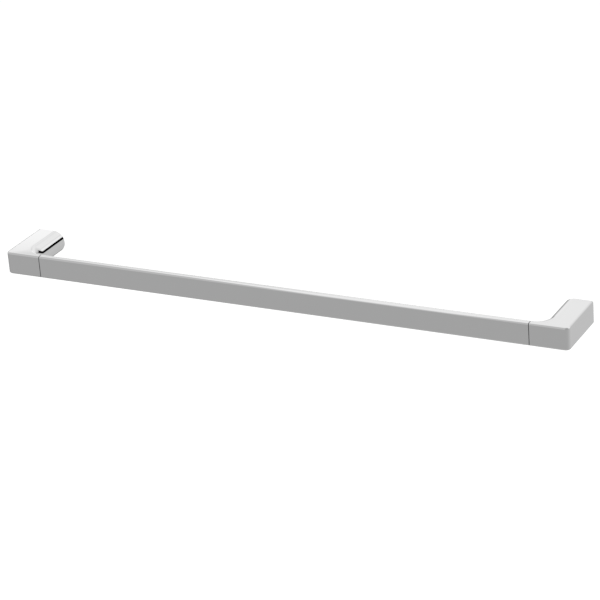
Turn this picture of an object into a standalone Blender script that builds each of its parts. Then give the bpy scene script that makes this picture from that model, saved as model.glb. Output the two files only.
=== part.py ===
"""Towel bar: a flat chromed rail between two L-shaped posts that slip over plates on the wall.

Metres, +Z up. The rail runs along X and the wall is the plane Y = 0, behind the bar.
The origin is on the wall, midway between the posts, at half the bar's height.

Each post is drawn in its own plan: "across" is the distance inwards from the bar's outer end,
"depth" is the distance from the front face towards the wall.
"""
import math

import bmesh
import bpy
from mathutils import Euler, Matrix, Vector

# The whole bar
overall_length = 0.600
bar_height = 0.023
wall_projection = 0.064

# Long edges of the rail and the posts, which run on across the seams
edge_radius = 0.0020

# Fits between neighbouring pieces, and how far a cutter runs past what it cuts
seat_gap = 0.0003
overrun = 0.001

# Rail: a rectangular tube
rail_depth = 0.007
rail_wall = 0.001
rail_bore_radius = 0.0010

# Posts: front block, arm, and the blended corner between them
front_block_width = 0.0388
arm_width = 0.0294
waist_land = 0.0002
seam_land = 0.001
outer_corner_radius = 0.005

# Post: the hollow that slips over the wall plate
post_wall = 0.0032
hollow_depth = 0.040
hollow_corner_radius = 0.0015

# Post: the tongue that enters the rail
tongue_length = 0.022
tongue_chamfer = 0.0005
tongue_root = 0.006

# Rail screw: headless, through the rail's back into the tongue
rail_screw_radius = 0.0015
rail_screw_length = 0.0034
rail_screw_inset = 0.0085
rail_screw_recess = 0.0003
rail_screw_socket = 0.0015
rail_screw_socket_depth = 0.0016
rail_screw_point = 0.0005
socket_sides = 6

# Wall plate: a cup screwed to the wall
plate_depth = 0.0095
plate_floor = 0.0025
plate_rim = 0.0018
plate_corner_radius = 0.0012
plate_hole_radius = 0.0022
plate_slot_length = 0.0026
plate_hole_pitch = 0.0100
groove_depth = 0.0012

# Grub screw: headless, up through the post's underside into the plate's groove
grub_radius = 0.0020
grub_tip_radius = 0.0003
grub_recess = 0.0003
grub_setback = 0.0050
grub_socket = 0.0020
grub_socket_depth = 0.0017

# Smoothness of round forms
corner_steps = 6
blend_steps = 6
inner_arc_steps = 8
edge_arc_steps = 4
outline_arc_steps = 5
half_round_steps = 16
turned_steps = 24
smooth_angle = math.radians(32)
quarter_turn = math.radians(90)
half_turn = math.radians(180)

# Sizes worked out from those above
half_height = bar_height / 2
arm_radius = half_height - waist_land / 2
arm_flat = arm_width - arm_radius
blend_across = front_block_width - seam_land
top_blend_radius = blend_across - arm_flat
top_blend_depth = rail_depth - edge_radius + top_blend_radius
waist_blend_radius = blend_across - arm_width
waist_blend_depth = rail_depth + waist_blend_radius
rail_start = front_block_width + seat_gap
rail_length = overall_length - 2 * rail_start
rail_middle_depth = rail_depth / 2
bore_height = bar_height - 2 * rail_wall
bore_depth = rail_depth - 2 * rail_wall
tongue_height = bore_height - 2 * seat_gap
tongue_depth = bore_depth - 2 * seat_gap
plate_inset = post_wall + seat_gap
plate_underside = half_height - plate_inset
grub_across = (post_wall + arm_flat) / 2
merge_distance = seat_gap / 100


# Collections, placing and materials

def clear_scene():
    for thing in list(bpy.data.objects):
        bpy.data.objects.remove(thing, do_unlink=True)


def new_collection(name):
    collection = bpy.data.collections.new(name)
    bpy.context.scene.collection.children.link(collection)
    return collection


def finish_material(name, colour, metallic, roughness):
    material = bpy.data.materials.new(name)
    material.use_nodes = True
    shader = material.node_tree.nodes["Principled BSDF"]
    shader.inputs["Base Color"].default_value = (*colour, 1.0)
    shader.inputs["Metallic"].default_value = metallic
    shader.inputs["Roughness"].default_value = roughness
    return material


def add_piece(name, mesh, material, place=(0, 0, 0)):
    piece = bpy.data.objects.new(name, mesh)
    parts.objects.link(piece)
    mesh.materials.clear()
    mesh.materials.append(material)
    piece.parent = wall_origin
    piece.location = place
    return piece


def add_cutter(name, mesh, parent=None):
    cutter = bpy.data.objects.new(name, mesh)
    cutters.objects.link(cutter)
    cutter.hide_render = True
    cutter.display_type = "WIRE"
    cutter.parent = parent
    return cutter


def boolean(piece, cutter, operation="DIFFERENCE"):
    modifier = piece.modifiers.new(cutter.name, "BOOLEAN")
    modifier.operation = operation
    modifier.solver = "EXACT"
    modifier.object = cutter


def shade(mesh):
    mesh.shade_smooth()
    mesh.set_sharp_from_angle(angle=smooth_angle)


def turn_mesh(mesh, angles):
    mesh.transform(Euler(angles).to_matrix().to_4x4())


# Outlines, as lists of points in a plane

def arc_points(centre, radius, start, end, steps):
    points = []
    for step in range(steps + 1):
        angle = start + (end - start) * step / steps
        points.append((centre[0] + radius * math.cos(angle), centre[1] + radius * math.sin(angle)))
    return points


def rounded_rectangle(width, height, radius):
    points = []
    for quarter, (sx, sy) in enumerate(((1, 1), (-1, 1), (-1, -1), (1, -1))):
        centre = (sx * (width / 2 - radius), sy * (height / 2 - radius))
        start = quarter * quarter_turn
        points += arc_points(centre, radius, start, start + quarter_turn, outline_arc_steps)
    return points


def arm_outline(inset, radius):
    """The arm's D-shaped section, drawn in by an inset: flat outer side, fully rounded inner side."""
    round_radius = half_height - inset
    points = arc_points((arm_flat, 0), round_radius, -quarter_turn, quarter_turn,
                        half_round_steps)
    top = (inset + radius, round_radius - radius)
    low = (inset + radius, radius - round_radius)
    points += arc_points(top, radius, quarter_turn, half_turn, outline_arc_steps)
    points += arc_points(low, radius, half_turn, half_turn + quarter_turn, outline_arc_steps)
    return points


def slot_outline(middle, radius, length):
    right = arc_points((middle + length / 2, 0), radius, -quarter_turn, quarter_turn, half_round_steps)
    left = arc_points((middle - length / 2, 0), radius, quarter_turn, half_turn + quarter_turn,
                      half_round_steps)
    return right + left


# Meshes made from outlines and profiles

def extruded_mesh(name, outlines, thickness):
    """A flat outline, with any holes, given a thickness: centred on its plane, along local Z."""
    drawing = bpy.data.curves.new(name, "CURVE")
    drawing.dimensions = "2D"
    drawing.fill_mode = "BOTH"
    drawing.extrude = thickness / 2
    for outline in outlines:
        spline = drawing.splines.new("POLY")
        spline.points.add(len(outline) - 1)
        for point, (x, y) in zip(spline.points, outline):
            point.co = (x, y, 0, 1)
        spline.use_cyclic_u = True
    return mesh_from_curve(name, drawing)


def mesh_from_curve(name, drawing):
    holder = bpy.data.objects.new(name, drawing)
    bpy.context.scene.collection.objects.link(holder)
    bpy.context.view_layer.update()
    evaluated = holder.evaluated_get(bpy.context.evaluated_depsgraph_get())
    mesh = bpy.data.meshes.new_from_object(evaluated)
    bpy.data.objects.remove(holder, do_unlink=True)
    mesh.name = name
    weld(mesh)
    return mesh


def weld(mesh):
    shape = bmesh.new()
    shape.from_mesh(mesh)
    bmesh.ops.remove_doubles(shape, verts=shape.verts, dist=merge_distance)
    bmesh.ops.recalc_face_normals(shape, faces=shape.faces)
    shape.to_mesh(mesh)
    shape.free()


def standing_mesh(name, outlines, front, back, side=1):
    """An outline in the plane of across and height, extruded in depth from front to back."""
    mesh = extruded_mesh(name, outlines, back - front)
    turn_mesh(mesh, (quarter_turn, 0, 0))
    middle = (front + back) / 2 - wall_projection
    mesh.transform(Matrix.Translation((0, middle, 0)))
    if side > 0:
        mesh.transform(Matrix.Scale(-1, 4, (1, 0, 0)))
        mesh.flip_normals()
    return mesh


def box_mesh(name, size, middle):
    shape = bmesh.new()
    bmesh.ops.create_cube(shape, size=1)
    bmesh.ops.scale(shape, vec=size, verts=shape.verts)
    bmesh.ops.translate(shape, vec=middle, verts=shape.verts)
    mesh = bpy.data.meshes.new(name)
    shape.to_mesh(mesh)
    shape.free()
    return mesh


def prism_mesh(name, radius, length, sides):
    """A round or many-sided rod along Z, from Z = 0 upwards."""
    shape = bmesh.new()
    bmesh.ops.create_cone(shape, cap_ends=True, segments=sides, radius1=radius, radius2=radius,
                          depth=length)
    bmesh.ops.translate(shape, vec=(0, 0, length / 2), verts=shape.verts)
    mesh = bpy.data.meshes.new(name)
    shape.to_mesh(mesh)
    shape.free()
    return mesh


def turned_mesh(name, profile):
    """A profile of (radius, height) points, listed from top to bottom, turned about Z."""
    line = bpy.data.meshes.new(name)
    edges = [(index, index + 1) for index in range(len(profile) - 1)]
    line.from_pydata([(radius, 0, height) for radius, height in profile], edges, [])
    holder = bpy.data.objects.new(name, line)
    bpy.context.scene.collection.objects.link(holder)
    turn = holder.modifiers.new("turn", "SCREW")
    turn.steps = turned_steps
    turn.render_steps = turned_steps
    turn.use_merge_vertices = True
    turn.merge_threshold = merge_distance
    bpy.context.view_layer.update()
    evaluated = holder.evaluated_get(bpy.context.evaluated_depsgraph_get())
    mesh = bpy.data.meshes.new_from_object(evaluated)
    bpy.data.objects.remove(holder, do_unlink=True)
    bpy.data.meshes.remove(line)
    mesh.name = name
    weld(mesh)
    return mesh


# Post: sections from the seam, round the corner and along the arm to the wall.
# The top outline and the waist, where the post stands out furthest, are struck from centres that
# share one "across", so the rounding between them grows from the edge radius to a full half round.

def waist_distance(turn, top_point):
    """How far the waist stands out from the top outline, square to that outline."""
    if turn > 0:
        reach = (arm_width - top_point.x) / math.sin(turn)
        if top_point.y + reach * math.cos(turn) >= waist_blend_depth:
            return min(reach, arm_radius)
    outward = Vector((math.sin(turn), math.cos(turn)))
    away = top_point - Vector((blend_across, waist_blend_depth))
    along = away.dot(outward)
    return -along - math.sqrt(along ** 2 - away.length_squared + waist_blend_radius ** 2)


def corner_section(turn, outer_point, outer_normal):
    inward = Vector((math.sin(turn), math.cos(turn)))
    top_point = Vector((blend_across, top_blend_depth)) - inward * top_blend_radius
    return outer_point, outer_normal, top_point, inward, waist_distance(turn, top_point)


def post_sections():
    """Each section: outer point and normal, top outline point, direction to the waist, and its radius."""
    front = Vector((0, -1))
    outside = Vector((-1, 0))
    towards_wall = Vector((0, 1))
    towards_rail = Vector((1, 0))
    corner_centre = Vector((outer_corner_radius, outer_corner_radius))

    corner = []
    for step in range(corner_steps + 1):
        swing = quarter_turn * step / corner_steps
        normal = Vector((-math.sin(swing), -math.cos(swing)))
        point = corner_centre + normal * outer_corner_radius
        turn = math.atan2(blend_across - point.x, top_blend_depth - point.y)
        corner.append((turn, point, normal))
    first_turn = corner[0][0]
    last_turn = corner[-1][0]

    seam_top = Vector((front_block_width, rail_depth - edge_radius))
    sections = [(Vector((front_block_width, 0)), front, seam_top, towards_wall, edge_radius)]
    for step in range(blend_steps):
        turn = first_turn * step / blend_steps
        point = Vector((blend_across - top_blend_depth * math.tan(turn), 0))
        sections.append(corner_section(turn, point, front))
    for turn, point, normal in corner:
        sections.append(corner_section(turn, point, normal))
    for step in range(1, blend_steps + 1):
        turn = last_turn + (quarter_turn - last_turn) * step / blend_steps
        point = Vector((0, top_blend_depth - blend_across / math.tan(turn)))
        sections.append(corner_section(turn, point, outside))
    arm_top = Vector((arm_flat, wall_projection))
    sections.append((Vector((0, wall_projection)), outside, arm_top, towards_rail, arm_radius))
    return sections


def section_ring(section):
    """The closed line of points round one section, as (across, depth, height)."""
    outer_point, outer_normal, top_point, waist_direction, radius = section
    upper = []
    for step in range(edge_arc_steps + 1):
        lean = quarter_turn * (1 - step / edge_arc_steps)
        place = outer_point - outer_normal * edge_radius * (1 - math.sin(lean))
        upper.append((*place, half_height - edge_radius * (1 - math.cos(lean))))
    for step in range(inner_arc_steps + 1):
        lean = quarter_turn * step / inner_arc_steps
        place = top_point + waist_direction * radius * math.sin(lean)
        upper.append((*place, half_height - radius * (1 - math.cos(lean))))
    lower = [(x, y, -z) for x, y, z in reversed(upper)]
    return upper + lower


def post_mesh(name, side):
    shape = bmesh.new()
    rings = []
    for section in post_sections():
        ring = []
        for across, depth, height in section_ring(section):
            ring.append(shape.verts.new((-side * across, depth - wall_projection, height)))
        rings.append(ring)
    for ring, following in zip(rings, rings[1:]):
        for index in range(len(ring)):
            after = (index + 1) % len(ring)
            shape.faces.new((ring[index], ring[after], following[after], following[index]))
    shape.faces.new(rings[0])
    shape.faces.new(rings[-1])
    bmesh.ops.recalc_face_normals(shape, faces=shape.faces)
    mesh = bpy.data.meshes.new(name)
    shape.to_mesh(mesh)
    shape.free()
    return mesh


def add_post(name, side):
    post = add_piece(name, post_mesh(name, side), chrome, (side * overall_length / 2, 0, 0))

    tongue_size = (tongue_length + tongue_root, tongue_depth, tongue_height)
    tongue_across = front_block_width + (tongue_length - tongue_root) / 2
    tongue_middle = (-side * tongue_across, rail_middle_depth - wall_projection, 0)
    tongue = add_cutter(name + "_tongue", box_mesh(name + "_tongue", tongue_size, tongue_middle), post)
    chamfer = tongue.modifiers.new("chamfer", "BEVEL")
    chamfer.width = tongue_chamfer
    chamfer.segments = 1
    boolean(post, tongue, "UNION")

    hollow_front = wall_projection - hollow_depth
    hollow = standing_mesh(name + "_hollow", [arm_outline(post_wall, hollow_corner_radius)],
                           hollow_front, wall_projection + overrun, side)
    boolean(post, add_cutter(name + "_hollow", hollow, post))

    grub_hole = prism_mesh(name + "_grub_hole", grub_radius + seat_gap, post_wall + 2 * overrun,
                           turned_steps)
    cutter = add_cutter(name + "_grub_hole", grub_hole, post)
    cutter.location = (-side * grub_across, -grub_setback, -half_height - overrun)
    boolean(post, cutter)

    screw_hole = prism_mesh(name + "_screw_hole", rail_screw_radius + seat_gap,
                            rail_screw_recess + rail_screw_length + seat_gap, turned_steps)
    turn_mesh(screw_hole, (quarter_turn, 0, 0))
    cutter = add_cutter(name + "_screw_hole", screw_hole, post)
    cutter.location = (-side * (rail_start + rail_screw_inset), rail_depth - wall_projection, 0)
    boolean(post, cutter)
    shade(post.data)


# Rail and screws

def add_rail():
    outer = rounded_rectangle(rail_depth, bar_height, edge_radius)
    bore = rounded_rectangle(bore_depth, bore_height, rail_bore_radius)
    mesh = extruded_mesh("towel_rail", [outer, bore], rail_length)
    turn_mesh(mesh, (quarter_turn, 0, quarter_turn))
    shade(mesh)
    rail = add_piece("towel_rail", mesh, chrome, (0, rail_middle_depth - wall_projection, 0))
    for name, side in ends:
        hole = prism_mesh(name + "_rail_hole", rail_screw_radius + seat_gap, rail_wall + 2 * overrun,
                          turned_steps)
        turn_mesh(hole, (quarter_turn, 0, 0))
        cutter = add_cutter(name + "_rail_hole", hole, rail)
        across = side * (rail_length / 2 - rail_screw_inset)
        cutter.location = (across, rail_middle_depth + overrun, 0)
        boolean(rail, cutter)


def socket_screw(name, profile, socket_width, socket_depth, place, angles):
    """A headless screw, turned, with a six-sided key socket in its lower end."""
    screw = add_piece(name, turned_mesh(name, profile), steel, place)
    screw.rotation_euler = angles
    corner_radius = socket_width / (2 * math.cos(half_turn / socket_sides))
    socket = prism_mesh(name + "_socket", corner_radius, socket_depth + overrun, socket_sides)
    cutter = add_cutter(name + "_socket", socket, screw)
    cutter.location = (0, 0, -overrun)
    boolean(screw, cutter)
    shade(screw.data)


def add_rail_screw(name, side):
    point = rail_screw_point
    profile = [
        (0, rail_screw_length),
        (rail_screw_radius - point, rail_screw_length),
        (rail_screw_radius, rail_screw_length - point),
        (rail_screw_radius, 0),
        (0, 0),
    ]
    across = side * (rail_length / 2 - rail_screw_inset)
    place = (across, rail_depth - rail_screw_recess - wall_projection, 0)
    socket_screw(name, profile, rail_screw_socket, rail_screw_socket_depth, place, (quarter_turn, 0, 0))


def add_grub_screw(name, side):
    groove_bottom = plate_underside - groove_depth
    cone_apex = groove_bottom + seat_gap * math.sqrt(2)
    low_end = half_height - grub_recess
    shank_end = cone_apex + grub_radius
    tip = cone_apex + grub_tip_radius
    profile = [
        (0, low_end - tip),
        (grub_tip_radius, low_end - tip),
        (grub_radius, low_end - shank_end),
        (grub_radius, 0),
        (0, 0),
    ]
    across = overall_length / 2 - grub_across
    place = (side * across, -grub_setback, -low_end)
    socket_screw(name, profile, grub_socket, grub_socket_depth, place, (0, 0, 0))


# Wall plates

def add_wall_plate(name, side):
    front = wall_projection - plate_depth
    outer = arm_outline(plate_inset, plate_corner_radius)
    mesh = standing_mesh(name, [outer], front, wall_projection, side)
    plate = add_piece(name, mesh, zinc, (side * overall_length / 2, 0, 0))

    cup = standing_mesh(name + "_cup", [arm_outline(plate_inset + plate_rim, plate_corner_radius)],
                        front - overrun, wall_projection - plate_floor, side)
    boolean(plate, add_cutter(name + "_cup", cup, plate))

    middle = arm_width / 2
    for label, offset, length in (("slot", -1, plate_slot_length), ("hole", 1, 0)):
        across = middle + offset * plate_hole_pitch / 2
        if length > 0:
            outline = slot_outline(across, plate_hole_radius, length)
        else:
            outline = arc_points((across, 0), plate_hole_radius, 0, 2 * half_turn, turned_steps)[:-1]
        opening = standing_mesh(name + "_" + label, [outline], wall_projection - plate_floor - overrun,
                                wall_projection + overrun, side)
        boolean(plate, add_cutter(name + "_" + label, opening, plate))

    groove_side = groove_depth * math.sqrt(2)
    groove = box_mesh(name + "_groove", (arm_width, groove_side, groove_side), (0, 0, 0))
    turn_mesh(groove, (quarter_turn / 2, 0, 0))
    cutter = add_cutter(name + "_groove", groove, plate)
    cutter.location = (-side * grub_across, -grub_setback, -plate_underside)
    boolean(plate, cutter)
    shade(plate.data)


clear_scene()
parts = new_collection("towel_bar")
cutters = new_collection("towel_bar_cutters")
wall_origin = bpy.data.objects.new("wall_origin", None)
parts.objects.link(wall_origin)

chrome = finish_material("polished_chrome", (0.80, 0.81, 0.82), 1.0, 0.06)
zinc = finish_material("cast_zinc", (0.50, 0.51, 0.52), 1.0, 0.42)
steel = finish_material("stainless_steel", (0.58, 0.57, 0.55), 1.0, 0.28)

ends = (("left", -1), ("right", 1))
add_rail()
for end_name, end_side in ends:
    add_post(end_name + "_post", end_side)
    add_rail_screw(end_name + "_rail_screw", end_side)
    add_wall_plate(end_name + "_wall_plate", end_side)
    add_grub_screw(end_name + "_grub_screw", end_side)
bpy.context.view_layer.update()
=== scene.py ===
"""A polished chrome towel bar: a flat rail between two posts that turn back to the wall.

The rail runs along X, the wall is the plane Y = 0 behind it, and Z is up, in metres.
A post is drawn in its own plan: "across" is the distance in from the bar's outer end, "depth" is the
distance from the front face towards the wall. The left post is made, and the right one is its mirror.
"""

import math

import bmesh
import bpy
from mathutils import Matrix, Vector


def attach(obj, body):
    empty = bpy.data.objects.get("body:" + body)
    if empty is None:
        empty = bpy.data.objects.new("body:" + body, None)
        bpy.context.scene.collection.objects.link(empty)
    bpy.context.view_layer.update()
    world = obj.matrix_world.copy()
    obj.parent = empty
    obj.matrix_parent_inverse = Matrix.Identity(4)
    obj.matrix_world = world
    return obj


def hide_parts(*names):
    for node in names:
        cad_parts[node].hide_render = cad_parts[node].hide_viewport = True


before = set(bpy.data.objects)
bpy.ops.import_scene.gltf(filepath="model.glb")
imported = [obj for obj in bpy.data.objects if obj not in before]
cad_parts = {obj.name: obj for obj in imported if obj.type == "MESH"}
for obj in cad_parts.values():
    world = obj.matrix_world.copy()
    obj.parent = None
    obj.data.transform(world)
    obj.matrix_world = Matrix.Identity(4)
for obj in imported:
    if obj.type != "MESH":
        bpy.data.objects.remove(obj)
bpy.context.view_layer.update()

# The whole bar
overall_length = 0.600
half_length = overall_length / 2
half_height = 0.0115
wall_projection = 0.064
edge_radius = 0.0020
seat_gap = 0.0003

# Rail
rail_depth = 0.007
rail_wall = 0.001
rail_start = 0.0391
rail_length = overall_length - 2 * rail_start
rail_middle = rail_depth / 2 - wall_projection
cut_edge = 0.00016

# Posts
front_block_width = 0.0388
arm_width = 0.0294
seam_land = 0.001
seam_edge = 0.00035
outer_corner_radius = 0.005
arm_radius = 0.0114
arm_flat = arm_width - arm_radius
post_wall = 0.0032
hollow_depth = 0.040
hollow_corner_radius = 0.0015
tongue_length = 0.022
tongue_inset = 0.0013
tongue_chamfer = 0.0005
blend_across = front_block_width - seam_land
top_blend_radius = blend_across - arm_flat
top_blend_depth = rail_depth - edge_radius + top_blend_radius
waist_blend_radius = blend_across - arm_width
waist_blend_depth = rail_depth + waist_blend_radius

# Rail screws, and the grub screws under the posts
rail_screw_radius = 0.0015
rail_screw_length = 0.0034
rail_screw_across = rail_start + 0.0085
grub_radius = 0.0020
grub_length = 0.0038
grub_across = (post_wall + arm_flat) / 2
grub_setback = 0.0050

# Wall plates
plate_inset = post_wall + seat_gap
plate_depth = 0.0095
plate_floor = 0.0025
plate_rim = 0.0018
plate_corner_radius = 0.0012
plate_hole_radius = 0.0022
plate_slot_length = 0.0026
plate_hole_pitch = 0.0100
groove_depth = 0.0012

# How finely round forms are divided, and how they are shaded
edge_steps = 8
round_steps = 40
corner_steps = 12
blend_steps = 26
seam_edge_steps = 3
cut_edge_steps = 2
hole_sides = 64
screw_sides = 40
smooth_angle = math.radians(32)
flat_face_weight = 60
quarter_turn = math.radians(90)


# Working in Blender

def start_clean():
    if bpy.context.object and bpy.context.object.mode != "OBJECT":
        bpy.ops.object.mode_set(mode="OBJECT")
    bpy.ops.object.select_all(action="DESELECT")


def make_active(piece):
    start_clean()
    piece.select_set(True)
    bpy.context.view_layer.objects.active = piece


def edit(piece):
    make_active(piece)
    bpy.ops.object.mode_set(mode="EDIT")


def done(name):
    """Leaves edit mode and names the piece."""
    bpy.ops.object.mode_set(mode="OBJECT")
    piece = bpy.context.object
    piece.name = name
    piece.data.name = name
    return piece


def pick(kind, test):
    """Selects the faces, edges or points of the mesh in edit mode that pass the test."""
    bpy.ops.mesh.select_mode(type=kind)
    bpy.ops.mesh.select_all(action="DESELECT")
    shape = bmesh.from_edit_mesh(bpy.context.object.data)
    for part in {"FACE": shape.faces, "EDGE": shape.edges, "VERT": shape.verts}[kind]:
        part.select = test(part)
    shape.select_flush_mode()
    bmesh.update_edit_mesh(bpy.context.object.data)


def middle_of(edge):
    return (edge.verts[0].co + edge.verts[1].co) / 2


def runs_along(edge, axis):
    way = (edge.verts[1].co - edge.verts[0].co).normalized()
    return abs(way[axis]) > 0.999


def mend_normals(piece):
    edit(piece)
    bpy.ops.mesh.select_all(action="SELECT")
    bpy.ops.mesh.normals_make_consistent(inside=False)
    bpy.ops.object.mode_set(mode="OBJECT")


def fix_place(piece):
    make_active(piece)
    bpy.ops.object.transform_apply(location=True, rotation=True, scale=True)


def cut_away(piece, cutter):
    """Cuts one mesh out of another and drops the cutter."""
    make_active(piece)
    modifier = piece.modifiers.new("cut", "BOOLEAN")
    modifier.operation = "DIFFERENCE"
    modifier.solver = "EXACT"
    modifier.object = cutter
    bpy.ops.object.modifier_apply(modifier=modifier.name)
    bpy.data.objects.remove(cutter, do_unlink=True)


def mirrored(piece, name):
    """A copy of a left-hand piece for the right-hand end."""
    make_active(piece)
    bpy.ops.object.duplicate()
    copy = bpy.context.object
    copy.name = name
    copy.data.name = name
    copy.scale = (-1, 1, 1)
    fix_place(copy)
    mend_normals(copy)
    return copy


def smooth_finish(piece):
    """Smooth shading that keeps flat faces flat and cut edges sharp."""
    make_active(piece)
    bpy.ops.object.shade_smooth_by_angle(angle=smooth_angle)
    modifier = piece.modifiers.new("weighted_normals", "WEIGHTED_NORMAL")
    modifier.keep_sharp = True
    modifier.weight = flat_face_weight
    bpy.ops.object.modifier_apply(modifier=modifier.name)


def hand_over(piece, node, slot, *materials):
    """Gives a finished piece its finish and puts it in place of its CAD node."""
    piece.data.materials.clear()
    for material in materials:
        piece.data.materials.append(material)
    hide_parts(node)
    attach(piece, "root")


# Posts: sections from the tongue's tip, through the seam, round the corner and down the arm

def waist_distance(turn, top_point):
    """How far the post's waist stands out from its top outline, square to that outline."""
    if turn > 0:
        reach = (arm_width - top_point.x) / math.sin(turn)
        if top_point.y + reach * math.cos(turn) >= waist_blend_depth:
            return min(reach, arm_radius)
    outward = Vector((math.sin(turn), math.cos(turn)))
    away = top_point - Vector((blend_across, waist_blend_depth))
    along = away.dot(outward)
    return -along - math.sqrt(along ** 2 - away.length_squared + waist_blend_radius ** 2)


def section_ring(outer_point, outer_normal, top_point, waist_way, waist_radius, corner=edge_radius,
                 height=half_height, inset=0.0):
    """The points round one section: a small round at the outer side, a larger one at the waist."""
    upper = []
    centre = outer_point - outer_normal * corner
    for step in range(edge_steps + 1):
        lean = quarter_turn * (1 - step / edge_steps)
        place = centre + outer_normal * (corner - inset) * math.sin(lean)
        upper.append((place.x, place.y, height - corner + (corner - inset) * math.cos(lean)))
    for step in range(round_steps + 1):
        lean = quarter_turn * step / round_steps
        place = top_point + waist_way * (waist_radius - inset) * math.sin(lean)
        upper.append((place.x, place.y, height - waist_radius + (waist_radius - inset) * math.cos(lean)))
    ring = upper + [(x, y, -z) for x, y, z in reversed(upper)]
    return [(across - half_length, depth - wall_projection, z) for across, depth, z in ring]


def rail_side_ring(across, depth_inset, height, corner, inset=0.0):
    """A rounded rectangle across the rail's direction, such as the seam or the tongue."""
    back = Vector((across, rail_depth - depth_inset - corner))
    return section_ring(Vector((across, depth_inset)), Vector((0, -1)), back, Vector((0, 1)), corner,
                        corner, height, inset)


def wall_side_ring(depth, shrink, corner, inset=0.0, radius=None):
    """The arm's D-shaped outline at one depth, drawn in by a shrink."""
    height = half_height - shrink
    return section_ring(Vector((shrink, depth)), Vector((-1, 0)), Vector((arm_flat, depth)),
                        Vector((1, 0)), radius or height, corner, height, inset)


def blend_rings():
    """From the front block, round the outer corner, to where the arm runs straight to the wall."""
    corner_centre = Vector((outer_corner_radius, outer_corner_radius))
    corner = []
    for step in range(corner_steps + 1):
        swing = quarter_turn * step / corner_steps
        normal = Vector((-math.sin(swing), -math.cos(swing)))
        point = corner_centre + normal * outer_corner_radius
        corner.append((math.atan2(blend_across - point.x, top_blend_depth - point.y), point, normal))
    first_turn = corner[0][0]
    last_turn = corner[-1][0]
    stations = []
    for step in range(blend_steps):
        turn = first_turn * step / blend_steps
        stations.append((turn, Vector((blend_across - top_blend_depth * math.tan(turn), 0)), Vector((0, -1))))
    stations += corner
    for step in range(1, blend_steps + 1):
        turn = last_turn + (quarter_turn - last_turn) * step / blend_steps
        stations.append((turn, Vector((0, top_blend_depth - blend_across / math.tan(turn))), Vector((-1, 0))))
    rings = []
    for turn, point, normal in stations:
        way = Vector((math.sin(turn), math.cos(turn)))
        top_point = Vector((blend_across, top_blend_depth)) - way * top_blend_radius
        rings.append(section_ring(point, normal, top_point, way, waist_distance(turn, top_point)))
    return rings


def softened(ring_at, end, edge, steps):
    """Rings that round an end's rim over, from just inside the end to the end."""
    rings = []
    for step in range(steps + 1):
        lean = quarter_turn * step / steps
        rings.append(ring_at(end - edge * (1 - math.sin(lean)), edge * (1 - math.cos(lean))))
    return rings


def seam_ring(across, inset):
    """The outline of the front block's end, which meets the rail."""
    return rail_side_ring(across, 0, half_height, edge_radius, inset)


def arm_end_ring(depth, inset):
    """The outline of the arm's end, which meets the wall."""
    return wall_side_ring(depth, 0, edge_radius, inset, arm_radius)


def post_rings():
    """From the tongue's tip, along the outside to the wall, and back in to the floor of the hollow."""
    tongue = half_height - tongue_inset
    tip = front_block_width + tongue_length
    tip_inset = tongue_chamfer * 0.9
    rings = [rail_side_ring(tip, tongue_inset, tongue, tongue_chamfer, tip_inset),
             rail_side_ring(tip - tongue_chamfer, tongue_inset, tongue, tongue_chamfer),
             rail_side_ring(front_block_width, tongue_inset, tongue, tongue_chamfer)]
    rings += reversed(softened(seam_ring, front_block_width, seam_edge, seam_edge_steps))
    rings += blend_rings()
    rings += softened(arm_end_ring, wall_projection, cut_edge, cut_edge_steps)
    hollow_front = wall_projection - hollow_depth
    rings += [wall_side_ring(wall_projection, post_wall - cut_edge, hollow_corner_radius),
              wall_side_ring(wall_projection - cut_edge, post_wall, hollow_corner_radius),
              wall_side_ring(hollow_front + cut_edge, post_wall, hollow_corner_radius),
              wall_side_ring(hollow_front, post_wall + cut_edge, hollow_corner_radius)]
    return rings


def move_ring(points):
    """Puts the selected ring of points in its place."""
    shape = bmesh.from_edit_mesh(bpy.context.object.data)
    ring = [vert for vert in shape.verts if vert.select]
    for vert, point in zip(ring, points):
        vert.co = point
    bmesh.update_edit_mesh(bpy.context.object.data)


def draw_through(name, rings):
    """A ring of points, extruded from section to section and closed at both ends."""
    start_clean()
    bpy.ops.mesh.primitive_circle_add(vertices=len(rings[0]), radius=half_height)
    bpy.ops.object.mode_set(mode="EDIT")
    bpy.ops.mesh.select_mode(type="VERT")
    bpy.ops.mesh.select_all(action="SELECT")
    move_ring(rings[0])
    for points in rings[1:]:
        bpy.ops.mesh.extrude_region()
        move_ring(points)
    bpy.ops.mesh.select_mode(type="EDGE")
    bpy.ops.mesh.select_all(action="DESELECT")
    bpy.ops.mesh.select_non_manifold(extend=False, use_wire=False, use_multi_face=False,
                                     use_non_contiguous=False, use_verts=False)
    bpy.ops.mesh.fill_holes(sides=0)
    bpy.ops.mesh.select_all(action="SELECT")
    bpy.ops.mesh.normals_make_consistent(inside=False)
    return done(name)


def round_cutter(radius, length, flare):
    """A rod along Z from Z = 0 upwards, with a flared foot that chamfers the mouth of the hole."""
    start_clean()
    bpy.ops.mesh.primitive_cylinder_add(vertices=hole_sides, radius=radius, depth=length,
                                        location=(0, 0, length / 2))
    cutter = bpy.context.object
    fix_place(cutter)
    edit(cutter)
    pick("FACE", lambda face: face.normal.z < -0.9)
    bpy.ops.mesh.extrude_region_move(TRANSFORM_OT_translate={"value": (0, 0, -2 * flare)})
    bpy.ops.transform.resize(value=((radius + 2 * flare) / radius,) * 2 + (1,), center_override=(0, 0, 0))
    bpy.ops.object.mode_set(mode="OBJECT")
    return cutter


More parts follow.
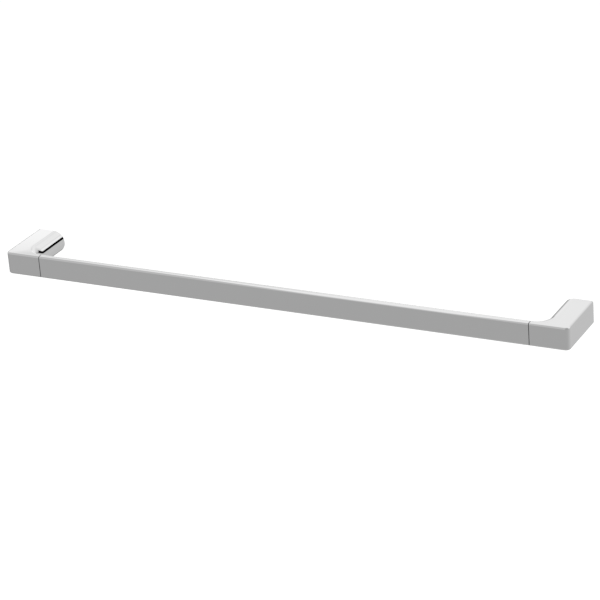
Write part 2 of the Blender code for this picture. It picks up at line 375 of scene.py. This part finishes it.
def make_left_post():
    post = draw_through("left_post_polished", post_rings())

    grub_hole = round_cutter(grub_radius + seat_gap, post_wall * 1.5, cut_edge)
    grub_hole.location = (grub_across - half_length, -grub_setback, -half_height + cut_edge)
    cut_away(post, grub_hole)

    screw_hole = round_cutter(rail_screw_radius + seat_gap, rail_screw_length, cut_edge)
    screw_hole.rotation_euler = (quarter_turn, 0, 0)
    tongue_back = rail_depth - tongue_inset - wall_projection
    screw_hole.location = (rail_screw_across - half_length, tongue_back - cut_edge, 0)
    cut_away(post, screw_hole)
    return post


def hidden_in_post(face, mirror_sign):
    """True for the faces in the arm's hollow, on the tongue and at the seam, which are left unpolished and
    darkened with painted shade.
    """
    middle = face.center
    across = middle.x * mirror_sign + half_length
    depth = middle.y + wall_projection
    bulge = max(across - arm_flat, 0)
    clear = half_height - post_wall + cut_edge / 2
    hollow = (depth > wall_projection - hollow_depth - cut_edge and across > post_wall - cut_edge
              and math.hypot(bulge, middle.z) < clear and depth < wall_projection - cut_edge / 4)
    return hollow or across > front_block_width - seam_edge * 1.1


def hidden_in_rail(face):
    """True for the faces in the rail's bore and at its ends, which are left unpolished and darkened with
    painted shade.
    """
    middle = face.center
    bore = (abs(middle.y - rail_middle) < rail_depth / 2 - rail_wall + cut_edge / 2
            and abs(middle.z) < half_height - rail_wall + cut_edge / 2)
    return bore or abs(middle.x) > rail_length / 2 - cut_edge / 8


# Rail: a box with rounded long edges, opened from end to end

def square_tube(name, size, middle, radius, wall, softening):
    """A tube along X with rounded long edges and softened rims."""
    start_clean()
    bpy.ops.mesh.primitive_cube_add(size=1, location=middle, scale=size)
    tube = bpy.context.object
    fix_place(tube)
    edit(tube)
    pick("EDGE", lambda edge: runs_along(edge, 0))
    bpy.ops.mesh.bevel(offset=radius, offset_type="OFFSET", segments=edge_steps, profile=0.5, affect="EDGES")
    pick("EDGE", lambda edge: abs(abs(middle_of(edge).x - middle[0]) - size[0] / 2) < softening / 10)
    bpy.ops.mesh.bevel(offset=softening, offset_type="OFFSET", segments=cut_edge_steps, profile=0.5,
                       affect="EDGES")
    pick("FACE", lambda face: abs(face.normal.x) > 0.99)
    bpy.ops.mesh.inset(thickness=wall - softening, use_even_offset=True)
    bpy.ops.mesh.bridge_edge_loops()
    bpy.ops.mesh.select_all(action="SELECT")
    bpy.ops.mesh.normals_make_consistent(inside=False)
    return done(name)


def make_rail():
    size = (rail_length, rail_depth, 2 * half_height)
    rail = square_tube("towel_rail_polished", size, (0, rail_middle, 0), edge_radius, rail_wall, cut_edge)
    for side in (-1, 1):
        hole = round_cutter(rail_screw_radius + seat_gap, rail_wall * 2, cut_edge)
        hole.rotation_euler = (quarter_turn, 0, 0)
        hole.location = (side * (half_length - rail_screw_across), rail_depth - wall_projection - cut_edge, 0)
        cut_away(rail, hole)
    return rail


# Headless screws: threaded rods with a six-sided key socket, made along Z with the socket at Z = 0

# A thread's depth is a share of its pitch. The screw's mouth narrows by a share of the thread's depth over so
# many turns. The cone that opens the socket is sized by the socket's corner radius
cuts_per_turn = 8
thread_share = 0.61
mouth_turns = 0.6
mouth_share = 0.9
lead_in_share = 1.6
lead_in_rise = 0.35


def headless_screw(name, radius, length, pitch, point_radius, point_length, socket_width, socket_depth):
    start_clean()
    bpy.ops.mesh.primitive_cylinder_add(vertices=screw_sides, radius=radius, depth=length,
                                        location=(0, 0, length / 2))
    screw = bpy.context.object
    fix_place(screw)
    edit(screw)
    pick("EDGE", lambda edge: runs_along(edge, 2))
    turns = length / pitch
    bpy.ops.mesh.subdivide(number_cuts=round(turns * cuts_per_turn))
    shape = bmesh.from_edit_mesh(screw.data)
    thread = thread_share * pitch
    for vert in shape.verts:
        angle = math.atan2(vert.co.y, vert.co.x) / math.tau
        phase = (vert.co.z / pitch - angle) % 1
        run_out = min(1, vert.co.z / pitch, max(0, (length - point_length - vert.co.z) / pitch))
        depth = thread * abs(2 * phase - 1) * run_out
        taper = max(0, (vert.co.z - (length - point_length)) / point_length)
        wanted = (radius - depth) * (1 - taper) + point_radius * taper
        mouth = max(0, 1 - vert.co.z / (pitch * mouth_turns)) * thread * mouth_share
        vert.co.x *= (wanted - mouth) / radius
        vert.co.y *= (wanted - mouth) / radius
    bmesh.update_edit_mesh(screw.data)
    screw = done(name)

    start_clean()
    corner_radius = socket_width / 2 / math.cos(math.radians(30))
    bpy.ops.mesh.primitive_cylinder_add(vertices=6, radius=corner_radius, depth=2 * socket_depth)
    cut_away(screw, bpy.context.object)
    start_clean()
    lead_in = corner_radius * lead_in_share
    bpy.ops.mesh.primitive_cone_add(vertices=48, radius1=lead_in, radius2=0, depth=lead_in,
                                    location=(0, 0, corner_radius * lead_in_rise))
    cut_away(screw, bpy.context.object)
    return screw


def make_left_rail_screw():
    screw = headless_screw("left_rail_screw_threaded", rail_screw_radius, rail_screw_length, pitch=0.0005,
                           point_radius=0.0010, point_length=0.0005, socket_width=0.0015,
                           socket_depth=0.0016)
    screw.rotation_euler = (quarter_turn, 0, 0)
    screw.location = (rail_screw_across - half_length, rail_depth - seat_gap - wall_projection, 0)
    fix_place(screw)
    return screw


def make_left_grub_screw():
    screw = headless_screw("left_grub_screw_threaded", grub_radius, grub_length, pitch=0.0007,
                           point_radius=0.0003, point_length=0.0017, socket_width=0.0020,
                           socket_depth=0.0017)
    screw.location = (grub_across - half_length, -grub_setback, -half_height + seat_gap)
    fix_place(screw)
    return screw


# Wall plates: cups with a slot, a round hole, and a groove for the grub screw's point

def make_left_plate():
    front = wall_projection - plate_depth
    cup_floor = wall_projection - plate_floor
    inner = plate_inset + plate_rim
    fillet = 2 * cut_edge
    fillet_middle = fillet * 0.3
    rings = [wall_side_ring(wall_projection, plate_inset + cut_edge, plate_corner_radius),
             wall_side_ring(wall_projection - cut_edge, plate_inset, plate_corner_radius),
             wall_side_ring(front + cut_edge, plate_inset, plate_corner_radius),
             wall_side_ring(front, plate_inset + cut_edge, plate_corner_radius),
             wall_side_ring(front, inner - cut_edge, plate_corner_radius),
             wall_side_ring(front + cut_edge, inner, plate_corner_radius),
             wall_side_ring(cup_floor - fillet, inner, plate_corner_radius),
             wall_side_ring(cup_floor - fillet_middle, inner + fillet_middle, plate_corner_radius),
             wall_side_ring(cup_floor, inner + fillet, plate_corner_radius)]
    plate = draw_through("left_wall_plate_cast", rings)

    for offset, slot in ((-1, plate_slot_length), (1, 0)):
        across = arm_width / 2 + offset * plate_hole_pitch / 2
        opening = round_cutter(plate_hole_radius, plate_floor * 2, cut_edge)
        if slot:
            edit(opening)
            for way in (-1, 1):
                pick("VERT", lambda vert: vert.co.x * way > plate_hole_radius / 1000)
                bpy.ops.transform.translate(value=(way * slot / 2, 0, 0))
            bpy.ops.object.mode_set(mode="OBJECT")
        opening.rotation_euler = (quarter_turn, 0, 0)
        opening.location = (across - half_length, -cut_edge, 0)
        cut_away(plate, opening)

    start_clean()
    side = groove_depth * math.sqrt(2)
    groove_place = (grub_across - half_length, -grub_setback, plate_inset - half_height)
    bpy.ops.mesh.primitive_cube_add(size=1, scale=(arm_width, side, side), location=groove_place,
                                    rotation=(quarter_turn / 2, 0, 0))
    cut_away(plate, bpy.context.object)
    return plate


# Finishes: shared effects are node groups, placed in each material with its own values

noise_span = (0.3, 0.7)
strokes_share = 0.35
stroke_stretch = (0.04, 1, 1)


def new_group(name, inputs, outputs):
    """A shader group with plain number inputs, given as name and default, and outputs of a kind."""
    group = bpy.data.node_groups.new(name, "ShaderNodeTree")
    for label, value in inputs:
        group.interface.new_socket(label, in_out="INPUT", socket_type="NodeSocketFloat").default_value = value
    for label, kind in outputs:
        group.interface.new_socket(label, in_out="OUTPUT", socket_type=kind)
    nodes = group.nodes
    return group, nodes.new("NodeGroupInput"), nodes.new("NodeGroupOutput")


def noise_at(nodes, links, place, scale, detail, stretch=(1, 1, 1)):
    """A noise pattern in the piece's own space, drawn out along an axis where the stretch is below 1."""
    mapping = nodes.new("ShaderNodeMapping")
    mapping.inputs["Scale"].default_value = stretch
    links.new(place, mapping.inputs["Vector"])
    noise = nodes.new("ShaderNodeTexNoise")
    noise.inputs["Scale"].default_value = scale
    noise.inputs["Detail"].default_value = detail
    links.new(mapping.outputs["Vector"], noise.inputs["Vector"])
    return noise.outputs["Fac"]


def remap(nodes, links, value, low, high):
    """Turns the usual span of a noise pattern into low to high. Low and high are sockets or numbers."""
    spread = nodes.new("ShaderNodeMapRange")
    spread.inputs["From Min"].default_value = noise_span[0]
    spread.inputs["From Max"].default_value = noise_span[1]
    links.new(value, spread.inputs["Value"])
    for label, end in (("To Min", low), ("To Max", high)):
        if isinstance(end, (int, float)):
            spread.inputs[label].default_value = end
        else:
            links.new(end, spread.inputs[label])
    return spread.outputs["Result"]


def build_wipe_haze():
    """The faint haze that wiping leaves: broad patches and fine strokes along the rail."""
    group, given, made = new_group("wipe_haze", [("Clear", 0.01), ("Hazy", 0.03)],
                                   [("Roughness", "NodeSocketFloat")])
    nodes, links = group.nodes, group.links
    place = nodes.new("ShaderNodeTexCoord").outputs["Object"]
    patches = noise_at(nodes, links, place, scale=38, detail=3)
    strokes = noise_at(nodes, links, place, scale=900, detail=2, stretch=stroke_stretch)
    both = nodes.new("ShaderNodeMix")
    both.inputs["Factor"].default_value = strokes_share
    links.new(patches, both.inputs["A"])
    links.new(strokes, both.inputs["B"])
    links.new(remap(nodes, links, both.outputs["Result"], given.outputs["Clear"], given.outputs["Hazy"]),
              made.inputs["Roughness"])
    return group


def build_fine_relief():
    """Small unevenness of a surface, as a normal. Height is in metres."""
    group, given, made = new_group("fine_relief", [("Scale", 500), ("Detail", 2), ("Height", 0.00001)],
                                   [("Normal", "NodeSocketVector")])
    nodes, links = group.nodes, group.links
    noise = nodes.new("ShaderNodeTexNoise")
    links.new(nodes.new("ShaderNodeTexCoord").outputs["Object"], noise.inputs["Vector"])
    links.new(given.outputs["Scale"], noise.inputs["Scale"])
    links.new(given.outputs["Detail"], noise.inputs["Detail"])
    bump = nodes.new("ShaderNodeBump")
    links.new(noise.outputs["Fac"], bump.inputs["Height"])
    links.new(given.outputs["Height"], bump.inputs["Distance"])
    links.new(bump.outputs["Normal"], made.inputs["Normal"])
    return group


def build_mottle():
    """Two shades of one colour in soft patches, with a finer grain in them, as a mask from 0 to 1."""
    group, given, made = new_group("mottle", [("Scale", 200)], [("Mask", "NodeSocketFloat")])
    nodes, links = group.nodes, group.links
    noise = nodes.new("ShaderNodeTexNoise")
    noise.inputs["Detail"].default_value = 5
    noise.inputs["Roughness"].default_value = 0.65
    links.new(nodes.new("ShaderNodeTexCoord").outputs["Object"], noise.inputs["Vector"])
    links.new(given.outputs["Scale"], noise.inputs["Scale"])
    links.new(remap(nodes, links, noise.outputs["Fac"], 0.0, 1.0), made.inputs["Mask"])
    return group


class Finish:
    """A metal's material, put together from groups and plain values."""

    def __init__(self, name, roughness):
        self.material = bpy.data.materials.new(name)
        self.material.use_nodes = True
        self.nodes = self.material.node_tree.nodes
        self.links = self.material.node_tree.links
        self.shader = self.nodes["Principled BSDF"]
        self.shader.inputs["Metallic"].default_value = 1.0
        self.shader.inputs["Roughness"].default_value = roughness

    def add(self, group, **values):
        node = self.nodes.new("ShaderNodeGroup")
        node.node_tree = group
        for label, value in values.items():
            node.inputs[label].default_value = value
        return node

    def join(self, output, socket):
        self.links.new(output, self.shader.inputs[socket])

    def two_shades(self, mask, dark, light):
        mix = self.nodes.new("ShaderNodeMix")
        mix.data_type = "RGBA"
        mix.inputs["A"].default_value = (*dark, 1)
        mix.inputs["B"].default_value = (*light, 1)
        self.links.new(mask, mix.inputs["Factor"])
        self.join(mix.outputs["Result"], "Base Color")


def make_finishes():
    wipe_haze = build_wipe_haze()
    fine_relief = build_fine_relief()
    mottle = build_mottle()

    chrome = Finish("polished_chrome_plate", 0.02)
    chrome.two_shades(chrome.add(mottle, Scale=24).outputs["Mask"],
                      (0.885, 0.885, 0.887), (0.900, 0.900, 0.900))
    chrome.join(chrome.add(wipe_haze, Clear=0.006, Hazy=0.022).outputs["Roughness"], "Roughness")
    chrome.join(chrome.add(fine_relief, Scale=55, Detail=1, Height=0.000006).outputs["Normal"], "Normal")

    # Dull metal for the hollows, the tongue and the seam's faces. Its colour is far darker than any plated
    # metal: painted shade for these recesses and the gap where the rail meets the posts.
    inner = Finish("dull_plate_and_painted_shade", 0.4)
    inner.two_shades(inner.add(mottle, Scale=420).outputs["Mask"], (0.07, 0.07, 0.075), (0.13, 0.13, 0.135))
    inner.join(inner.add(wipe_haze, Clear=0.30, Hazy=0.50).outputs["Roughness"], "Roughness")
    inner.join(inner.add(fine_relief, Scale=2600, Detail=3, Height=0.00003).outputs["Normal"], "Normal")

    zinc = Finish("cast_zinc_bare", 0.45)
    zinc.two_shades(zinc.add(mottle, Scale=320).outputs["Mask"], (0.42, 0.43, 0.44), (0.58, 0.59, 0.60))
    zinc.join(zinc.add(wipe_haze, Clear=0.34, Hazy=0.55).outputs["Roughness"], "Roughness")
    zinc.join(zinc.add(fine_relief, Scale=3200, Detail=4, Height=0.00003).outputs["Normal"], "Normal")

    steel = Finish("stainless_steel_turned", 0.3)
    steel.two_shades(steel.add(mottle, Scale=1500).outputs["Mask"], (0.50, 0.49, 0.47), (0.64, 0.63, 0.61))
    steel.join(steel.add(wipe_haze, Clear=0.20, Hazy=0.36).outputs["Roughness"], "Roughness")
    steel.join(steel.add(fine_relief, Scale=6000, Detail=2, Height=0.000008).outputs["Normal"], "Normal")
    return chrome.material, inner.material, zinc.material, steel.material


# The set: a pale floor well below the bar, a soft white room, two cards behind it, a lamp and a camera

# Floor. To the eye it is lifted to white. In the chrome it shows painted shade in place of its lit paper: a
# glow that fades from grey to grey over each span, in metres, darker towards the camera and at the back left.
floor_drop = 0.80
floor_radius = 7.6
floor_lift = 0.37
floor_paper_grey = 0.95
front_floor_painted_grey = 0.40
back_floor_painted_grey = 0.57
back_left_floor_painted_grey = 0.30
front_to_back_span = (-1.7, 2.0)
left_to_right_span = (-0.8, -0.2)

# Dome. Its greys go by height, from 0 at the horizon to 1 straight up. Each zone takes over from the one before
# it between two bearings, in radians from straight behind the bar and negative to the left
overhead_grey = 0.88
first_zone = [(0.0, 0.90), (1.0, overhead_grey)]
later_zones = (
    (-1.40, -1.00, [(0.0, 0.132), (0.24, 0.132), (0.30, 0.99), (1.0, 0.99)]),
    (-0.69, -0.62, [(0.0, back_floor_painted_grey), (0.10, 0.90), (0.33, 0.90), (0.36, 0.75), (0.385, 0.78),
                    (0.41, 0.82), (0.46, 0.885), (0.58, 0.845), (1.0, overhead_grey)]),
    (-0.50, -0.45, [(0.0, back_floor_painted_grey), (0.10, 0.90), (0.36, 0.89), (0.50, 0.885), (0.58, 0.845),
                    (1.0, overhead_grey)]),
    (-0.35, -0.10, [(0.0, back_floor_painted_grey), (0.30, 0.69), (0.48, 0.78), (0.54, 0.85), (0.57, 0.90),
                    (1.0, overhead_grey)]),
    (0.44, 0.54, [(0.0, back_floor_painted_grey), (0.24, 0.66), (0.30, 0.93), (0.42, 0.95), (0.50, 0.93),
                  (0.60, 0.89), (1.0, overhead_grey)]))

# The dome's dim side round the camera, whose grey changes over a span of the direction's X
camera_side_grey = 0.53
far_right_grey = 0.37
camera_side_span = (-0.05, 0.4)

# How far the white ceiling reaches up and over before it fades to the camera's side, in radians from straight
# behind the bar, and the share of that reach by the direction's X plus 1
ceiling_reach = 2.10
ceiling_fade = 0.80
reach_shares = [(0.495, 0.30), (0.53, 0.50), (0.575, 1.0), (0.625, 1.0), (0.66, 0.52)]

# Cards. The black one thins out over a span of X. The bright one ends at a slanting side and fades at its top
card_setback = 1.2
black_card_span = (-0.34, -0.02)
bright_card_slant = 1.55
bright_card_side_span = (-0.175, -0.135)
bright_card_top_span = (0.64, 0.72)
bright_card_grey_span = (0.59, 0.66)
bright_card_greys = (1.02, 0.89)

# Lamp and camera, in metres, watts, degrees and millimetres
lamp_height = 2.6
lamp_width = 3.0
lamp_power = 26
camera_place = (1.06542, -2.00993, 0.97979)
camera_angles = (66.0514, 3.9795, 26.2719)
camera_lens = 152.77


def add_node(nodes, links, kind, *given, **settings):
    """A node with its settings, its inputs joined to sockets or set to plain values, in order."""
    node = nodes.new(kind)
    for label, value in settings.items():
        setattr(node, label, value)
    for socket, value in zip(node.inputs, given):
        if isinstance(value, bpy.types.NodeSocket):
            links.new(value, socket)
        else:
            socket.default_value = value
    return node


def calculate(nodes, links, operation, *given):
    """The result of one sum on sockets or numbers."""
    return add_node(nodes, links, "ShaderNodeMath", *given, operation=operation).outputs[0]


def fade(nodes, links, value, start, end, low, high):
    """A smooth passage from low at the start to high at the end."""
    return add_node(nodes, links, "ShaderNodeMapRange", value, start, end, low, high,
                    interpolation_type="SMOOTHSTEP").outputs["Result"]


def grey_ramp(nodes, links, value, stops):
    """A straight-line ramp through greys, given as position and grey."""
    node = add_node(nodes, links, "ShaderNodeValToRGB", value)
    elements = node.color_ramp.elements
    while len(elements) < len(stops):
        elements.new(0.5)
    for element, (place, grey) in zip(elements, stops):
        element.position = place
        element.color = (grey, grey, grey, 1)
    return node.outputs["Color"]


def mixed_colour(nodes, links, factor, first, second):
    """The first colour where the factor is 0 and the second where it is 1."""
    node = nodes.new("ShaderNodeMixRGB")
    for socket, given in zip(node.inputs, (factor, first, second)):
        links.new(given, socket)
    return node.outputs[0]


def make_floor():
    """White to the eye, with the bar's shadow. In the chrome it shows painted shade, a glow that greys to the
    camera and at the back left.
    """
    start_clean()
    bpy.ops.mesh.primitive_circle_add(vertices=96, radius=floor_radius, fill_type="NGON",
                                      location=(0, 0, -floor_drop))
    floor = bpy.context.object
    floor.name = "studio_floor"
    material = bpy.data.materials.new("pale_floor_paper")
    material.use_nodes = True
    nodes, links = material.node_tree.nodes, material.node_tree.links
    nodes.remove(nodes["Principled BSDF"])
    rays = nodes.new("ShaderNodeLightPath")
    paper = add_node(nodes, links, "ShaderNodeBsdfDiffuse",
                     (floor_paper_grey, floor_paper_grey, floor_paper_grey, 1))
    lift = add_node(nodes, links, "ShaderNodeEmission", (1, 1, 1, 1), floor_lift)
    lifted = add_node(nodes, links, "ShaderNodeAddShader", paper.outputs[0], lift.outputs[0])
    to_eye = add_node(nodes, links, "ShaderNodeMixShader", rays.outputs["Is Camera Ray"], paper.outputs[0],
                      lifted.outputs[0])

    # In the chrome the floor is a glow with painted shade, greyer towards the camera and at the back left, not
    # its lit paper.
    place = nodes.new("ShaderNodeTexCoord").outputs["Object"]
    split = add_node(nodes, links, "ShaderNodeSeparateXYZ", place)
    back_painted_grey = fade(nodes, links, split.outputs["X"], *left_to_right_span, back_left_floor_painted_grey,
                     back_floor_painted_grey)
    grey = fade(nodes, links, split.outputs["Y"], *front_to_back_span, front_floor_painted_grey, back_painted_grey)
    mirrored_floor_painted_shade = add_node(nodes, links, "ShaderNodeEmission", (1, 1, 1, 1), grey)
    seen = add_node(nodes, links, "ShaderNodeMixShader", rays.outputs["Is Glossy Ray"], to_eye.outputs[0],
                    mirrored_floor_painted_shade.outputs[0])
    from_below = nodes.new("ShaderNodeNewGeometry").outputs["Backfacing"]
    clear = nodes.new("ShaderNodeBsdfTransparent")
    add_node(nodes, links, "ShaderNodeMixShader", from_below, seen.outputs[0], clear.outputs[0])
    links.new(nodes[-1].outputs[0], nodes["Material Output"].inputs[0])
    floor.data.materials.append(material)


def make_room():
    """White to the eye. The chrome sees a white dome with dimmer zones, which is dim on the camera's side."""
    world = bpy.data.worlds.new("soft_white_room")
    bpy.context.scene.world = world
    world.use_nodes = True
    nodes, links = world.node_tree.nodes, world.node_tree.links
    nodes.remove(nodes["Background"])
    direction = nodes.new("ShaderNodeTexCoord").outputs["Generated"]
    split = add_node(nodes, links, "ShaderNodeSeparateXYZ", direction)
    sideways, backwards, height = split.outputs

    bearing = calculate(nodes, links, "ARCTAN2", sideways, backwards)
    grey = grey_ramp(nodes, links, height, first_zone)
    for zone_start, zone_end, stops in later_zones:
        grey = mixed_colour(nodes, links, fade(nodes, links, bearing, zone_start, zone_end, 0.0, 1.0), grey,
                            grey_ramp(nodes, links, height, stops))

    camera_side = fade(nodes, links, sideways, *camera_side_span, camera_side_grey, far_right_grey)
    steepness = calculate(nodes, links, "ABSOLUTE", height)
    lift = calculate(nodes, links, "ARCTAN2", steepness, backwards)
    reach = grey_ramp(nodes, links, calculate(nodes, links, "ADD", sideways, 1.0), reach_shares)
    reach = calculate(nodes, links, "MULTIPLY", reach, ceiling_reach)
    reach_end = calculate(nodes, links, "ADD", reach, ceiling_fade)
    to_camera = fade(nodes, links, lift, reach, reach_end, 0.0, 1.0)
    dome = add_node(nodes, links, "ShaderNodeBackground",
                    mixed_colour(nodes, links, to_camera, grey, camera_side), 1.0)

    white = add_node(nodes, links, "ShaderNodeBackground", (1, 1, 1, 1), 1.0)
    rays = nodes.new("ShaderNodeLightPath")
    to_eye = calculate(nodes, links, "MAXIMUM", rays.outputs["Is Camera Ray"],
                       rays.outputs["Is Transmission Ray"])
    add_node(nodes, links, "ShaderNodeMixShader", to_eye, dome.outputs[0], white.outputs[0])
    links.new(nodes[-1].outputs[0], nodes["World Output"].inputs[0])


def make_card(name, left, right, foot, top):
    """An upright card across the bar's back, seen in the chrome only. Gives its nodes, links and place."""
    start_clean()
    bpy.ops.mesh.primitive_plane_add(size=1, rotation=(quarter_turn, 0, 0),
                                     location=((left + right) / 2, card_setback, (foot + top) / 2))
    card = bpy.context.object
    card.name = name
    card.scale = (right - left, top - foot, 1)
    fix_place(card)
    for kind in ("camera", "diffuse", "transmission", "shadow", "volume_scatter"):
        setattr(card, "visible_" + kind, False)
    material = bpy.data.materials.new(name + "_paper")
    material.use_nodes = True
    nodes, links = material.node_tree.nodes, material.node_tree.links
    nodes.remove(nodes["Principled BSDF"])
    card.data.materials.append(material)
    split = add_node(nodes, links, "ShaderNodeSeparateXYZ", nodes.new("ShaderNodeTexCoord").outputs["Object"])
    return nodes, links, split.outputs["X"], split.outputs["Z"]


def finish_card(nodes, links, cover, grey):
    """Joins a card's grey, where it covers, to clear air, where it has faded out."""
    paper = add_node(nodes, links, "ShaderNodeEmission", (1, 1, 1, 1), grey)
    clear = nodes.new("ShaderNodeBsdfTransparent")
    add_node(nodes, links, "ShaderNodeMixShader", cover, clear.outputs[0], paper.outputs[0])
    links.new(nodes[-1].outputs[0], nodes["Material Output"].inputs[0])


def make_cards():
    """A black card behind on the right, which thins out to the left, and a bright one behind on the left."""
    nodes, links, across, _ = make_card("black_card", left=-0.40, right=0.86, foot=0.05, top=0.44)
    finish_card(nodes, links, fade(nodes, links, across, *black_card_span, 0.0, 1.0), 0.0)

    nodes, links, across, up = make_card("bright_card", left=-2.20, right=-0.90, foot=0.50, top=0.72)
    slant = calculate(nodes, links, "MULTIPLY_ADD", up, bright_card_slant, across)
    sideways = fade(nodes, links, slant, *bright_card_side_span, 1.0, 0.0)
    upwards = fade(nodes, links, up, *bright_card_top_span, 1.0, 0.0)
    cover = calculate(nodes, links, "MULTIPLY", sideways, upwards)
    finish_card(nodes, links, cover, fade(nodes, links, up, *bright_card_grey_span, *bright_card_greys))


def make_lamp():
    """A broad soft light overhead, which gives the floor its shadow."""
    bpy.ops.object.light_add(type="AREA", location=(0, 0, lamp_height))
    lamp = bpy.context.object
    lamp.name = "overhead_softbox"
    lamp.data.shape = "SQUARE"
    lamp.data.size = lamp_width
    lamp.data.energy = lamp_power
    lamp.visible_glossy = False


def make_camera():
    """At the photograph's place, to the right and above."""
    bpy.ops.object.camera_add(location=camera_place, rotation=[math.radians(a) for a in camera_angles])
    camera = bpy.context.object
    camera.data.sensor_width = 36
    camera.data.lens = camera_lens
    camera.data.clip_start = 0.05
    bpy.context.scene.camera = camera


def make_bar():
    chrome, inner, zinc, steel = make_finishes()
    left_post = make_left_post()
    left_rail_screw = make_left_rail_screw()
    left_grub_screw = make_left_grub_screw()
    left_plate = make_left_plate()
    rail = make_rail()

    bar_set = [(rail, "towel_rail", "polished_chrome", (chrome, inner))]
    for left, stem, slot, finishes in (
            (left_post, "post", "polished_chrome", (chrome, inner)),
            (left_rail_screw, "rail_screw", "stainless_steel", (steel,)),
            (left_grub_screw, "grub_screw", "stainless_steel", (steel,)),
            (left_plate, "wall_plate", "cast_zinc", (zinc,))):
        right = mirrored(left, left.name.replace("left_", "right_"))
        bar_set += [(left, "left_" + stem, slot, finishes), (right, "right_" + stem, slot, finishes)]
    for piece, node, slot, finishes in bar_set:
        smooth_finish(piece)
        hand_over(piece, node, slot, *finishes)
    right_post = bpy.data.objects["right_post_polished"]
    # Faces in the hollows, on the tongue and at the seam take the second finish: unpolished metal darkened with
    # painted shade.
    for piece, hidden in ((left_post, lambda face: hidden_in_post(face, 1)),
                          (right_post, lambda face: hidden_in_post(face, -1)),
                          (rail, hidden_in_rail)):
        for face in piece.data.polygons:
            face.material_index = 1 if hidden(face) else 0


make_bar()
make_floor()
make_room()
make_cards()
make_lamp()
make_camera()
bpy.context.scene.view_settings.view_transform = "Standard"
bpy.context.view_layer.update()
